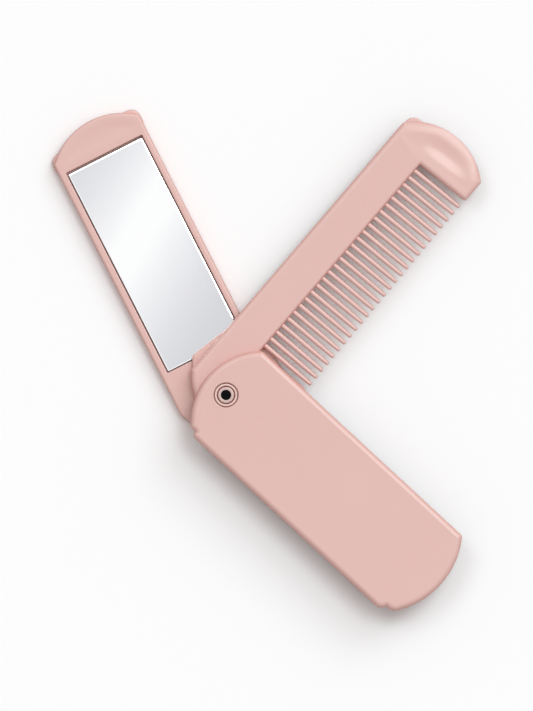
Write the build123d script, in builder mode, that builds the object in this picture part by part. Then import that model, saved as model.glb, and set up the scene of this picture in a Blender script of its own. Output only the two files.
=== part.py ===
"""Folding pocket mirror and comb: three long leaves and a short spacer turning on one hollow rivet.

Millimetres. The origin lies on the pivot axis in the plane that the mirror leaf rests on. +Z points up
through the stack, and +X runs along the front cover. Each leaf is drawn along its own X axis, with its
pivot at 0, and its plane is then turned about the pivot to where the leaf stands.
"""

from build123d import *
from math import atan2, copysign, cos, degrees, radians, sin, sqrt
import os

os.makedirs("parts", exist_ok=True)

# Where the leaves stand, in degrees from the front cover
cover_angle = 0.0
spacer_angle = 80.55
comb_angle = 92.2
mirror_angle = 159.7

# Thicknesses of the stack, from the surface up
shell_thickness = 2.0
bezel_thickness = 1.6
spacer_thickness = 1.4
comb_thickness = 3.0
cover_thickness = 3.2
leaf_gap = 0.3

shell_bottom = 0.0
bezel_bottom = shell_bottom + shell_thickness
spacer_bottom = bezel_bottom + bezel_thickness + leaf_gap
comb_bottom = spacer_bottom + spacer_thickness + leaf_gap
cover_bottom = comb_bottom + comb_thickness + leaf_gap
cover_top = cover_bottom + cover_thickness

# Front cover, with its reach from the pivot to each round end
cover_heel = 7.8
cover_reach = 83.6
cover_near_radius = 21.0
cover_near_rise = 1.2
cover_far_radius = 25.0
cover_far_rise = 1.6
cover_open_edge = 16.65
cover_grip_edge = -13.6
cover_corner = 1.3
cover_rounding = 1.15
cover_underside_chamfer = 0.4
grip_near_inset = 2.6
grip_far_inset = 1.7
grip_step = 1.9
grip_corner = 1.3
cover_wall = 1.8
cover_skin = 1.5
cover_boss_radius = 6.5
cover_rib_width = 1.0
cover_rib_pitch = 13.0
cover_rib_count = 5

# Comb, laid out from the heel along the row of teeth to the end guard
comb_heel = 8.3
comb_near_radius = 17.3
comb_near_rise = -1.7
heel_side = 16.45
heel_end = -16.9
spine_edge = 12.45
root_line = 0.65
tooth_count = 27
tooth_pitch = 2.6
tooth_sides = 8
tooth_root_radius = 0.7
tooth_tip_radius = 0.56
tooth_tip_length = 0.35
tooth_tip_taper = 35.0
tooth_sink = 0.9
heel_gap = 1.8
guard_gap = 2.25
near_tip = -17.0
far_tip = -16.15
guard_length = 12.9
guard_end = -16.3
comb_far_radius = 19.9
comb_far_rise = -2.55
comb_corner = 1.0
comb_inner_corner = 0.4
comb_chamfer = 0.7
tab_width = 8.3
tab_setback = 3.1
tab_drop = 0.35
tab_corner = 3.0
tab_thickness = 1.7
tab_chamfer = 0.4
scoop_setback = 4.4
scoop_side = -1.2
scoop_half_width = 4.0
scoop_half_length = 9.0
scoop_flat_share = 0.4
scoop_depth = 0.5

# Mirror leaf, bezel above and shell below
mirror_reach = 89.4
mirror_half_width = 14.45
mirror_far_ease = 6.25
mirror_far_rise = -1.05
mirror_near_centre = 5.0
mirror_near_ease = 0.2
mirror_corner = 1.0
bezel_chamfer = 0.5
shell_chamfer = 0.5
ear_standout = 2.65
ear_length = 7.2
ear_step = 0.28
ear_corner = 2.9
window_start = 13.45
window_setback = 10.6
side_rail = 2.15
window_corner = 0.3
glass_gap = 0.3
glass_thickness = 1.8
glass_recess = 0.28
glass_bevel = 0.15
pad_thickness = 0.3
pad_margin = 1.2
seat_gap = 0.02
lug_width = 1.4
lug_length = 0.9
lug_clearance = 0.08
lug_setback = 4.0
lug_side_inset = 5.5

# Spacer plate
spacer_heel = 6.7
spacer_reach = 18.1
spacer_near_radius = 22.0
spacer_far_radius = 21.3
spacer_half_width = 15.2
spacer_corner = 1.2
spacer_chamfer = 0.4

# Pivot
pivot_clearance = 0.05
slip_gap = 0.05
bush_radius = 2.6
bush_bore = 2.0
collar_radius = 3.3
collar_flange = 1.1
collar_groove = 0.25
spring_thickness = 0.2
spring_rise = 0.15
rivet_head_radius = 2.42
rivet_head_thickness = 0.45
rivet_groove = 0.28
rivet_bore = 1.5
rivet_tail_radius = 2.7
rivet_tail_thickness = 0.4
rivet_chamfer = 0.1
rivet_washer_radius = 3.7
rivet_washer_thickness = 0.4
plug_recess = 0.3
plug_length = 4.0
slip_washer_radius = 6.0
tail_pocket_gap = 0.4
tail_pocket_floor = 0.8


def leaf_plane(angle, height):
    """Plane of a leaf, turned about the pivot and raised to a level of the stack."""
    along = (cos(radians(angle)), sin(radians(angle)), 0)
    return Plane(origin=(0, 0, height), x_dir=along, z_dir=(0, 0, 1))


def end_x(arc, y):
    """Place along a leaf where its round end meets the straight edge at y."""
    apex, rise, radius = arc
    centre = apex - radius
    return centre + copysign(sqrt(radius**2 - (y - rise) ** 2), radius)


def end_arc(arc, start_y, finish_y):
    """Round end of a leaf from one straight edge to the other, through its apex."""
    apex, rise, radius = arc
    ThreePointArc((end_x(arc, start_y), start_y), (apex, rise), (end_x(arc, finish_y), finish_y))


def round_ended_outline(near, far, low, high):
    """Outline of a leaf with two straight edges and two round ends."""
    with BuildLine() as outline:
        Line((end_x(near, low), low), (end_x(far, low), low))
        end_arc(far, low, high)
        Line((end_x(far, high), high), (end_x(near, high), high))
        end_arc(near, high, low)
    return outline.line


def top_edges(part):
    """Edges of a part's highest flat face."""
    return part.faces().sort_by(Axis.Z)[-1].edges()


def bottom_edges(part):
    """Edges of a part's lowest flat face."""
    return part.faces().sort_by(Axis.Z)[0].edges()


# Each round end is its apex along the leaf, its centre's offset to the side, and its radius, which is
# negative at the near end, where the arc bulges back past the pivot.
cover_near = (-cover_heel, cover_near_rise, -cover_near_radius)
cover_far = (cover_reach, cover_far_rise, cover_far_radius)

# Front cover: a moulded plate, cored from below, with a stepped grip along one edge
cover_plane = leaf_plane(cover_angle, cover_bottom)
grip_start = end_x(cover_near, cover_grip_edge) + grip_near_inset
grip_finish = end_x(cover_far, cover_grip_edge) - grip_far_inset
grip_width = 3 * grip_corner + 2 * cover_wall
grip_centre = ((grip_start + grip_finish) / 2, cover_grip_edge - grip_step + grip_width / 2)

with BuildPart() as cover_grip:
    with BuildSketch(cover_plane):
        with Locations(grip_centre):
            RectangleRounded(grip_finish - grip_start, grip_width, grip_corner)
    extrude(amount=cover_thickness)
    fillet(top_edges(cover_grip), cover_rounding)
    chamfer(bottom_edges(cover_grip), cover_underside_chamfer)

with BuildPart() as front_cover:
    with BuildSketch(cover_plane) as cover_face:
        make_face(round_ended_outline(cover_near, cover_far, cover_grip_edge, cover_open_edge))
        fillet(cover_face.vertices(), cover_corner)
    extrude(amount=cover_thickness)
    fillet(top_edges(front_cover), cover_rounding)
    chamfer(bottom_edges(front_cover), cover_underside_chamfer)
    add(cover_grip.part)
    # The core is open below and leaves a wall, a boss round the pivot and ribs
    with BuildSketch(cover_plane) as core:
        make_face(round_ended_outline(cover_near, cover_far, cover_grip_edge, cover_open_edge))
        offset(amount=-cover_wall, kind=Kind.INTERSECTION)
        Circle(cover_boss_radius, mode=Mode.SUBTRACT)
        for rib in range(cover_rib_count):
            with Locations((cover_boss_radius + (rib + 0.5) * cover_rib_pitch, 0)):
                Rectangle(cover_rib_width, 3 * cover_open_edge, mode=Mode.SUBTRACT)
        with Locations((cover_reach / 2, 0)):
            Rectangle(3 * cover_reach, cover_rib_width, mode=Mode.SUBTRACT)
    extrude(amount=cover_thickness - cover_skin, mode=Mode.SUBTRACT)
    # The pivot's bore, with a counterbore that the collar's flange sinks into
    with Locations(cover_plane.offset(cover_thickness)):
        CounterBoreHole(
            bush_radius + pivot_clearance,
            collar_radius + collar_groove,
            collar_flange + spring_thickness + spring_rise + seat_gap + slip_gap,
            cover_thickness,
        )
front_cover.part.label = "front_cover"
export_step(front_cover.part, "parts/front_cover.step")

# Comb: one moulding with a spine, a heel round the pivot, an end guard and tapered teeth
comb_plane = leaf_plane(comb_angle, comb_bottom)
comb_top_plane = comb_plane.offset(comb_thickness)
first_tooth = heel_side + heel_gap
last_tooth = first_tooth + (tooth_count - 1) * tooth_pitch
guard_side = last_tooth + guard_gap
guard_apex = guard_side + guard_length
comb_near = (-comb_heel, comb_near_rise, -comb_near_radius)
comb_far = (guard_apex, comb_far_rise, comb_far_radius)

# The nail tab stands out past the spine's far corner, below the comb's top face
tab_finish = guard_apex - tab_setback
tab_start = guard_side
tab_edge = spine_edge - tab_drop
with BuildPart() as comb_tab:
    with BuildSketch(comb_plane):
        with Locations(((tab_start + tab_finish) / 2, tab_edge - tab_width / 2)):
            RectangleRounded(tab_finish - tab_start, tab_width, tab_corner)
    extrude(amount=tab_thickness)
    chamfer(top_edges(comb_tab), tab_chamfer)
    chamfer(bottom_edges(comb_tab), tab_chamfer)

# Each tooth tapers to a blunt tip, and the row's tips draw in a little towards the guard
teeth = []
for tooth_number in range(tooth_count):
    tooth_tip = near_tip + (far_tip - near_tip) * tooth_number / (tooth_count - 1)
    tooth_length = root_line + tooth_sink - tooth_tip - tooth_tip_length
    tooth_taper = degrees(atan2(tooth_root_radius - tooth_tip_radius, tooth_length))
    tooth_x = first_tooth + tooth_number * tooth_pitch
    tooth_root = comb_plane.from_local_coords((tooth_x, root_line + tooth_sink, comb_thickness / 2))
    tooth_plane = Plane(tooth_root, x_dir=comb_plane.x_dir, z_dir=-comb_plane.y_dir)
    with BuildPart() as tooth:
        with BuildSketch(tooth_plane):
            RegularPolygon(tooth_root_radius, tooth_sides, major_radius=False, rotation=180 / tooth_sides)
        extrude(amount=tooth_length, taper=tooth_taper)
        with BuildSketch(tooth_plane.offset(tooth_length)):
            RegularPolygon(tooth_tip_radius, tooth_sides, major_radius=False, rotation=180 / tooth_sides)
        extrude(amount=tooth_tip_length, taper=tooth_tip_taper)
    teeth.append(tooth.part)

# The thumb scoop's cutter is a barrel with a straight middle and two cones that fade it out
scoop_radius = (scoop_half_width**2 + scoop_depth**2) / (2 * scoop_depth)
scoop_spot = comb_top_plane.from_local_coords((guard_apex - scoop_setback, scoop_side, 0))
scoop_rise = scoop_radius - scoop_depth
scoop_flat = scoop_flat_share * scoop_half_length
with BuildPart() as scoop_cutter:
    with BuildSketch(Plane(scoop_spot, x_dir=comb_plane.y_dir, z_dir=comb_plane.x_dir)):
        Polygon(
            (-scoop_half_length, scoop_rise),
            (-scoop_half_length, 0),
            (-scoop_flat, -scoop_depth),
            (scoop_flat, -scoop_depth),
            (scoop_half_length, 0),
            (scoop_half_length, scoop_rise),
            align=None,
        )
    revolve(axis=Axis(scoop_spot + comb_plane.z_dir * scoop_rise, comb_plane.y_dir))

with BuildPart() as comb:
    with BuildSketch(comb_plane) as comb_face:
        with BuildLine():
            Line((end_x(comb_near, heel_end), heel_end), (heel_side, heel_end))
            Line((heel_side, heel_end), (heel_side, root_line))
            Line((heel_side, root_line), (guard_side, root_line))
            Line((guard_side, root_line), (guard_side, guard_end))
            Line((guard_side, guard_end), (end_x(comb_far, guard_end), guard_end))
            end_arc(comb_far, guard_end, spine_edge)
            Line((end_x(comb_far, spine_edge), spine_edge), (end_x(comb_near, spine_edge), spine_edge))
            end_arc(comb_near, spine_edge, heel_end)
        make_face()
        fillet(comb_face.vertices().group_by(Axis.Y)[0], comb_corner)
        fillet(comb_face.vertices().group_by(Axis.Y)[-1], comb_corner)
        root_corners = comb_face.vertices().filter_by(lambda corner: abs(corner.Y - root_line) < seat_gap)
        fillet(root_corners, comb_inner_corner)
    extrude(amount=comb_thickness)
    chamfer(top_edges(comb) + bottom_edges(comb), comb_chamfer)
    add([comb_tab.part, *teeth])
    add(scoop_cutter.part, mode=Mode.SUBTRACT)
    with Locations(comb_top_plane):
        Hole(bush_radius + pivot_clearance, comb_thickness)
comb.part.label = "comb"
export_step(comb.part, "parts/comb.step")

# Spacer plate: a short plate that keeps the comb off the mirror leaf
spacer_plane = leaf_plane(spacer_angle, spacer_bottom)
spacer_near = (-spacer_heel, 0.0, -spacer_near_radius)
spacer_far = (spacer_reach, 0.0, spacer_far_radius)
with BuildPart() as spacer_plate:
    with BuildSketch(spacer_plane) as spacer_face:
        make_face(round_ended_outline(spacer_near, spacer_far, -spacer_half_width, spacer_half_width))
        fillet(spacer_face.vertices(), spacer_corner)
    extrude(amount=spacer_thickness)
    chamfer(top_edges(spacer_plate), spacer_chamfer)
    with Locations(spacer_plane.offset(spacer_thickness)):
        Hole(bush_radius + pivot_clearance, spacer_thickness)
spacer_plate.part.label = "spacer_plate"
export_step(spacer_plate.part, "parts/spacer_plate.step")

# Mirror leaf: the bezel carries the window and four hidden lugs, and the shell closes it from below
shell_plane = leaf_plane(mirror_angle, shell_bottom)
bezel_plane = leaf_plane(mirror_angle, bezel_bottom)
bezel_top_plane = bezel_plane.offset(bezel_thickness)
mirror_near_radius = mirror_half_width + mirror_near_ease
mirror_near = (mirror_near_centre - mirror_near_radius, 0.0, -mirror_near_radius)
mirror_far = (mirror_reach, mirror_far_rise, mirror_half_width + mirror_far_ease)
window_finish = mirror_reach - window_setback
window_centre = ((window_start + window_finish) / 2, 0)
window_length = window_finish - window_start
window_width = 2 * (mirror_half_width - side_rail)
glass_bottom = bezel_bottom + bezel_thickness - glass_recess - glass_thickness
tray_floor = glass_bottom - pad_thickness - 2 * seat_gap
lug_side = mirror_half_width - lug_side_inset
lug_spots = []
for lug_x in (window_start - lug_setback, window_finish + lug_setback):
    for lug_y in (-lug_side, lug_side):
        lug_spots.append((lug_x, lug_y))

with BuildPart() as mirror_frame:
    with BuildSketch(bezel_plane) as bezel_face:
        make_face(round_ended_outline(mirror_near, mirror_far, -mirror_half_width, mirror_half_width))
        fillet(bezel_face.vertices(), mirror_corner)
    extrude(amount=bezel_thickness)
    chamfer(top_edges(mirror_frame), bezel_chamfer)
    with BuildSketch(bezel_plane):
        with Locations(window_centre):
            RectangleRounded(window_length, window_width, window_corner)
    extrude(amount=bezel_thickness, mode=Mode.SUBTRACT)
    with Locations(bezel_top_plane):
        Hole(bush_radius + pivot_clearance, bezel_thickness)
    with BuildSketch(bezel_plane):
        with Locations(*lug_spots):
            Rectangle(lug_width, lug_width)
    extrude(amount=-lug_length)
mirror_frame.part.label = "mirror_frame"
export_step(mirror_frame.part, "parts/mirror_frame.step")

# The shell's far corners stand out as two ears beside the bezel's round end
ear_side = mirror_half_width + ear_step
ear_spots = []
for edge in (-mirror_half_width, mirror_half_width):
    ear_x = end_x(mirror_far, edge) + ear_standout - ear_length / 2
    ear_spots.append((ear_x, copysign(ear_side - ear_length / 2, edge)))
with BuildPart() as shell_ears:
    with BuildSketch(shell_plane):
        with Locations(*ear_spots):
            RectangleRounded(ear_length, ear_length, ear_corner)
    extrude(amount=shell_thickness)
    chamfer(shell_ears.faces().filter_by(Axis.Z).edges(), shell_chamfer)

with BuildPart() as back_shell:
    with BuildSketch(shell_plane) as shell_face:
        make_face(round_ended_outline(mirror_near, mirror_far, -mirror_half_width, mirror_half_width))
        fillet(shell_face.vertices(), mirror_corner)
    extrude(amount=shell_thickness)
    chamfer(top_edges(back_shell) + bottom_edges(back_shell), shell_chamfer)
    add(shell_ears.part)
    # The tray that the glass is bedded in
    with BuildSketch(shell_plane.offset(tray_floor)):
        with Locations(window_centre):
            RectangleRounded(window_length, window_width, window_corner)
    extrude(amount=shell_thickness, mode=Mode.SUBTRACT)
    # The round pocket that hides the rivet's tail, and the sockets for the bezel's lugs
    with BuildSketch(shell_plane.offset(tail_pocket_floor)):
        Circle(rivet_washer_radius + tail_pocket_gap)
    extrude(amount=shell_thickness, mode=Mode.SUBTRACT)
    with BuildSketch(shell_plane.offset(shell_thickness - lug_length - lug_clearance)):
        with Locations(*lug_spots):
            Rectangle(lug_width + 2 * lug_clearance, lug_width + 2 * lug_clearance)
    extrude(amount=shell_thickness, mode=Mode.SUBTRACT)
back_shell.part.label = "back_shell"
export_step(back_shell.part, "parts/back_shell.step")

with BuildPart() as mirror_glass:
    with BuildSketch(leaf_plane(mirror_angle, glass_bottom)):
        with Locations(window_centre):
            Rectangle(window_length - 2 * glass_gap, window_width - 2 * glass_gap)
    extrude(amount=glass_thickness)
    chamfer(top_edges(mirror_glass), glass_bevel)
mirror_glass.part.label = "mirror_glass"
export_step(mirror_glass.part, "parts/mirror_glass.step")

with BuildPart() as mirror_pad:
    with BuildSketch(leaf_plane(mirror_angle, tray_floor + seat_gap)):
        with Locations(window_centre):
            Rectangle(window_length - 2 * pad_margin, window_width - 2 * pad_margin)
    extrude(amount=pad_thickness)
mirror_pad.part.label = "mirror_pad"
export_step(mirror_pad.part, "parts/mirror_pad.step")

# Pivot: a flanged bush that the leaves turn on, held by a hollow rivet over a steel washer
flange_bottom = cover_top - collar_flange
recess_floor = cover_top - rivet_head_thickness - seat_gap
washer_top = bezel_bottom - seat_gap
washer_bottom = washer_top - rivet_washer_thickness
tail_bottom = washer_bottom - seat_gap - rivet_tail_thickness

with BuildPart() as pivot_collar:
    with BuildSketch(Plane.XY.offset(bezel_bottom)):
        Circle(bush_radius)
    extrude(amount=cover_top - bezel_bottom)
    with BuildSketch(Plane.XY.offset(flange_bottom)):
        Circle(collar_radius)
    extrude(amount=collar_flange)
    with Locations(Plane.XY.offset(cover_top)):
        CounterBoreHole(bush_bore, rivet_head_radius + rivet_groove, cover_top - recess_floor, cover_top)
pivot_collar.part.label = "pivot_collar"
export_step(pivot_collar.part, "parts/pivot_collar.step")

with BuildPart() as pivot_rivet:
    with BuildSketch(Plane.XY.offset(tail_bottom)):
        Circle(bush_bore - pivot_clearance)
    extrude(amount=cover_top - tail_bottom)
    with BuildSketch(Plane.XY.offset(tail_bottom)):
        Circle(rivet_tail_radius)
    extrude(amount=rivet_tail_thickness)
    with BuildSketch(Plane.XY.offset(cover_top - rivet_head_thickness)):
        Circle(rivet_head_radius)
    extrude(amount=rivet_head_thickness)
    chamfer(top_edges(pivot_rivet), rivet_chamfer)
    with Locations(Plane.XY.offset(cover_top)):
        Hole(rivet_bore, cover_top)
pivot_rivet.part.label = "pivot_rivet"
export_step(pivot_rivet.part, "parts/pivot_rivet.step")

with BuildPart() as pivot_plug:
    with BuildSketch(Plane.XY.offset(cover_top - plug_recess - plug_length)):
        Circle(rivet_bore - seat_gap)
    extrude(amount=plug_length)
pivot_plug.part.label = "pivot_plug"
export_step(pivot_plug.part, "parts/pivot_plug.step")

# Disc spring between the flange and the floor of the cover's counterbore, higher at its inner rim
spring_inner = bush_radius + pivot_clearance
spring_low = flange_bottom - seat_gap - spring_rise - spring_thickness
spring_high = spring_low + spring_rise
with BuildPart() as spring_washer:
    with BuildSketch(Plane.XZ):
        with BuildLine():
            Polyline(
                (collar_radius, spring_low),
                (collar_radius, spring_low + spring_thickness),
                (spring_inner, spring_high + spring_thickness),
                (spring_inner, spring_high),
                close=True,
            )
        make_face()
    revolve(axis=Axis.Z)
spring_washer.part.label = "spring_washer"
export_step(spring_washer.part, "parts/spring_washer.step")

with BuildPart() as rivet_washer:
    with BuildSketch(Plane.XY.offset(washer_bottom)):
        Circle(rivet_washer_radius)
        Circle(bush_bore, mode=Mode.SUBTRACT)
    extrude(amount=rivet_washer_thickness)
rivet_washer.part.label = "rivet_washer"
export_step(rivet_washer.part, "parts/rivet_washer.step")

# Slip washers, one in each gap between the leaves
slip_levels = {
    "slip_washer_lower": spacer_bottom - leaf_gap,
    "slip_washer_middle": comb_bottom - leaf_gap,
    "slip_washer_upper": cover_bottom - leaf_gap,
}
for slip_name, gap_floor in slip_levels.items():
    with BuildPart() as slip_washer:
        with BuildSketch(Plane.XY.offset(gap_floor + slip_gap)):
            Circle(slip_washer_radius)
            Circle(bush_radius + pivot_clearance, mode=Mode.SUBTRACT)
        extrude(amount=leaf_gap - 2 * slip_gap)
    slip_washer.part.label = slip_name
    export_step(slip_washer.part, f"parts/{slip_name}.step")
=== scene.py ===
from math import asin, atan2, ceil, cos, degrees, pi, radians, sin, sqrt, tan

import bmesh
import bpy
from mathutils import Matrix, Vector
from mathutils.geometry import delaunay_2d_cdt


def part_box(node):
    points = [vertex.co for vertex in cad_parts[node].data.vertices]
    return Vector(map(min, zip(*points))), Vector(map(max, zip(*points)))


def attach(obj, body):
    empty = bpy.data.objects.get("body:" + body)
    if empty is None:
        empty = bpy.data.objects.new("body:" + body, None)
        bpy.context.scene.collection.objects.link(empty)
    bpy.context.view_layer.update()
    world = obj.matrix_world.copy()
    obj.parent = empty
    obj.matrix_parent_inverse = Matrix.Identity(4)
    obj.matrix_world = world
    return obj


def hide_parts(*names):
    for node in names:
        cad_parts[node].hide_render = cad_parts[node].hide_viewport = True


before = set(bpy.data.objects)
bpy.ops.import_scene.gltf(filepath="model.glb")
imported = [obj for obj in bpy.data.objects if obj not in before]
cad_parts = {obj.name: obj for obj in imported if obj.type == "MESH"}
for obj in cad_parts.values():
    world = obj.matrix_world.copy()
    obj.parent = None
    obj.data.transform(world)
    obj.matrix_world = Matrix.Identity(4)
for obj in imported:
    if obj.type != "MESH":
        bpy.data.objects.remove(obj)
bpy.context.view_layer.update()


# Back shell. The lower half of the mirror leaf is a shallow tray, injection moulded in pink ABS, with
# rounded square ears at its far end. Its sockets take the bezel's lugs, and a round pocket on the pivot
# hides the rivet's rolled tail. Sizes are in millimetres along a leaf whose pivot is at 0.
MM = 0.001
SIDE_STEP = 0.5  # Longest step along a round of an outline
TURN_STEP = 6.0  # Widest turn in one step, in degrees
EDGE_STEPS = 9  # Steps across the round of an edge
SHARP = 0.02  # Radius of a corner that looks sharp
SAME_POINT = 1e-6  # Points nearer than this are one
mirror_turn = 159.7
mirror_half_width = 14.45
mirror_heel = 9.6
mirror_heel_radius = 15.2
mirror_reach = 89.4
mirror_end_radius = 20.7
mirror_end_rise = -1.05
mirror_corners = (1.0, 1.0)
ear_standout = 2.65
ear_length = 7.2
ear_step = 0.28
ear_corner = 2.9
ear_nook = 0.3
shell_round = 0.6
window_start, window_finish = 13.45, 78.85
window_low, window_high = -12.5, 12.3
window_corner = 0.3
tray_floor = 1.18
tail_pocket_radius = 4.1
tail_pocket_floor = 0.8
lug_half_width = 0.7
lug_length = 0.9
lug_corner = 0.1
lug_clearance = 0.08
lug_spots = [(x, y) for x in (9.45, 82.8) for y in (-8.95, 8.95)]


def level(node):
    """Lowest and highest level of a CAD node, in millimetres."""
    low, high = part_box(node)
    return low.z / MM, high.z / MM


def far_end(reach, rise, radius, low, high, corner_sizes, inset):
    """Arcs of a leaf's round end, from its low edge to its high edge, with a round at each corner. An arc is
    (centre x, centre y, radius, first angle, last angle), in millimetres and degrees."""
    x, y = reach - radius, rise
    ends = []
    for edge, inward, corner_size in ((low, 1, corner_sizes[0]), (high, -1, corner_sizes[1])):
        size = max(corner_size - inset, SHARP)
        corner_y = edge + inward * (inset + size)
        along = sqrt((radius - inset - size) ** 2 - (corner_y - y) ** 2)
        ends.append((x + along, corner_y, size, degrees(atan2(corner_y - y, along))))
    (low_x, low_y, low_size, low_angle), (high_x, high_y, high_size, high_angle) = ends
    return [
        (low_x, low_y, low_size, -90, low_angle),
        (x, y, radius - inset, low_angle, high_angle),
        (high_x, high_y, high_size, high_angle, 90),
    ]


def near_end(heel, rise, radius, low, high, corner_sizes, inset):
    """Arcs of a leaf's other end, behind the pivot, from its high edge to its low edge."""
    turned = far_end(heel, -rise, radius, -high, -low, corner_sizes, inset)
    return [(-x, -y, size, first + 180, last + 180) for x, y, size, first, last in turned]


def corner(x, y, size, first, inset):
    """Arc of a square corner, whose edges meet at x, y and turn left there by 90 degrees."""
    size = max(size - inset, SHARP)
    reach = inset + size
    turn = radians(first)
    centre_x = x - reach * (cos(turn) - sin(turn))
    centre_y = y - reach * (sin(turn) + cos(turn))
    return (centre_x, centre_y, size, first, first + 90)


def rectangle(x0, y0, x1, y1, size):
    """Outline of a rectangle with round corners. An outline gives its arcs for any inset."""
    return lambda inset: [
        corner(x1, y0, size, -90, inset),
        corner(x1, y1, size, 0, inset),
        corner(x0, y1, size, 90, inset),
        corner(x0, y0, size, 180, inset),
    ]


def circle(radius):
    """Outline of a circle round the pivot."""
    return lambda inset: [(0, 0, radius - inset, 0, 360)]


def backwards(arcs):
    """The same arcs, run from the last end to the first."""
    return [(x, y, radius, last, first) for x, y, radius, first, last in reversed(arcs)]


def opening(outline):
    """The same outline run backwards, as the edge of a hole or pocket, which grows with its inset."""
    return lambda inset: backwards(outline(-inset))


def arc_steps(arcs):
    """How many steps each arc of an outline is drawn in."""
    spans = [abs(last - first) for _, _, _, first, last in arcs]
    lengths = [radians(span) * radius for span, (_, _, radius, _, _) in zip(spans, arcs)]
    return [ceil(max(span / TURN_STEP, length / SIDE_STEP, 1)) for span, length in zip(spans, lengths)]


def ring_points(arcs, steps):
    """Points round an outline, each of its arcs in that many steps."""
    points = []
    for (x, y, radius, first, last), count in zip(arcs, steps):
        whole = abs(last - first) == 360
        for step in range(count if whole else count + 1):
            angle = radians(first + (last - first) * step / count)
            points.append((x + radius * cos(angle), y + radius * sin(angle)))
    return points


def edge_turns(size):
    """Angles of the steps across a round edge of that size, or one angle for a sharp edge."""
    return [radians(90 * step / EDGE_STEPS) for step in range(EDGE_STEPS + 1 if size else 1)]


def rounded(bottom, top, low_round, high_round):
    """A side wall's profile from the bottom up, as (inset, level), with a quarter round at each end."""
    low = [(low_round * (1 - sin(turn)), bottom + low_round * (1 - cos(turn)))
           for turn in edge_turns(low_round)]
    high = [(high_round * (1 - cos(turn)), top - high_round * (1 - sin(turn)))
            for turn in edge_turns(high_round)]
    return low + high


def wall(mesh, outline, profile):
    """Skins an outline with rings that follow the profile upwards. Returns the lowest and highest ring."""
    steps = arc_steps(outline(0))
    rings = []
    for inset, height in profile:
        rings.append([mesh.verts.new((x, y, height)) for x, y in ring_points(outline(inset), steps)])
    for lower, upper in zip(rings, rings[1:]):
        for here in range(len(lower)):
            after = (here + 1) % len(lower)
            mesh.faces.new((lower[here], lower[after], upper[after], upper[here]))
    return rings[0], rings[-1]


def fill(mesh, outer, holes=(), up=True, extra_points=()):
    """Closes the flat between an outer ring and the rings of its holes, with more points where it is to be
    pressed into a form."""
    verts = []
    edges = []
    for ring in (outer, *holes):
        start = len(verts)
        edges += [(start + here, start + (here + 1) % len(ring)) for here in range(len(ring))]
        verts += ring
    verts += [mesh.verts.new((x, y, outer[0].co.z)) for x, y in extra_points]
    flat = [vert.co.xy for vert in verts]
    _, _, triangles, sources, _, _ = delaunay_2d_cdt(flat, edges, [], 1, SAME_POINT)
    hole_sets = [set(ring) for ring in holes]
    for triangle in triangles:
        trio = [verts[sources[point][0]] for point in triangle]
        if not any(hole.issuperset(trio) for hole in hole_sets):
            mesh.faces.new(trio if up else trio[::-1])


def press(mesh, depth, bottom, top):
    """Lowers a moulding's upper side by depth(x, y), and what is below it less, down to a level."""
    for vert in mesh.verts:
        share = min(max((vert.co.z - bottom) / (top - bottom), 0), 1)
        vert.co.z -= share * depth(vert.co.x, vert.co.y)


def srgb(code):
    """A hex colour as linear red, green, blue and an alpha of 1."""
    parts = [int(code[place:place + 2], 16) / 255 for place in (1, 3, 5)]
    return (*[part / 12.92 if part <= 0.04045 else ((part + 0.055) / 1.055) ** 2.4 for part in parts], 1.0)


def add_node(tree, kind, settings=None, inputs=None):
    """Adds a node, sets it, and sets each input to a value or links it to another node's output."""
    node = tree.nodes.new(kind)
    for setting, value in (settings or {}).items():
        setattr(node, setting, value)
    for name, value in (inputs or {}).items():
        if isinstance(value, bpy.types.NodeSocket):
            tree.links.new(value, node.inputs[name])
        else:
            node.inputs[name].default_value = value
    return node


def new_material(name):
    """An empty node material and its tree."""
    material = bpy.data.materials.new(name)
    material.use_nodes = True
    material.node_tree.nodes.clear()
    return material, material.node_tree


def finish_material(material, shader):
    """Ends a material with its last shader."""
    add_node(material.node_tree, "ShaderNodeOutputMaterial", inputs={"Surface": shader.outputs[0]})
    return material


def soft_patches(tree, place, size, detail, first, second):
    """Noise in soft patches of a real size, and two close colours mixed by it."""
    noise = add_node(tree, "ShaderNodeTexNoise", inputs={
        "Vector": place, "Scale": 1 / size, "Detail": detail})
    tint = add_node(tree, "ShaderNodeMix", {"data_type": "RGBA"}, {
        "Factor": noise.outputs["Fac"], "A": srgb(first), "B": srgb(second)})
    return noise.outputs["Fac"], tint.outputs["Result"]


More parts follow.
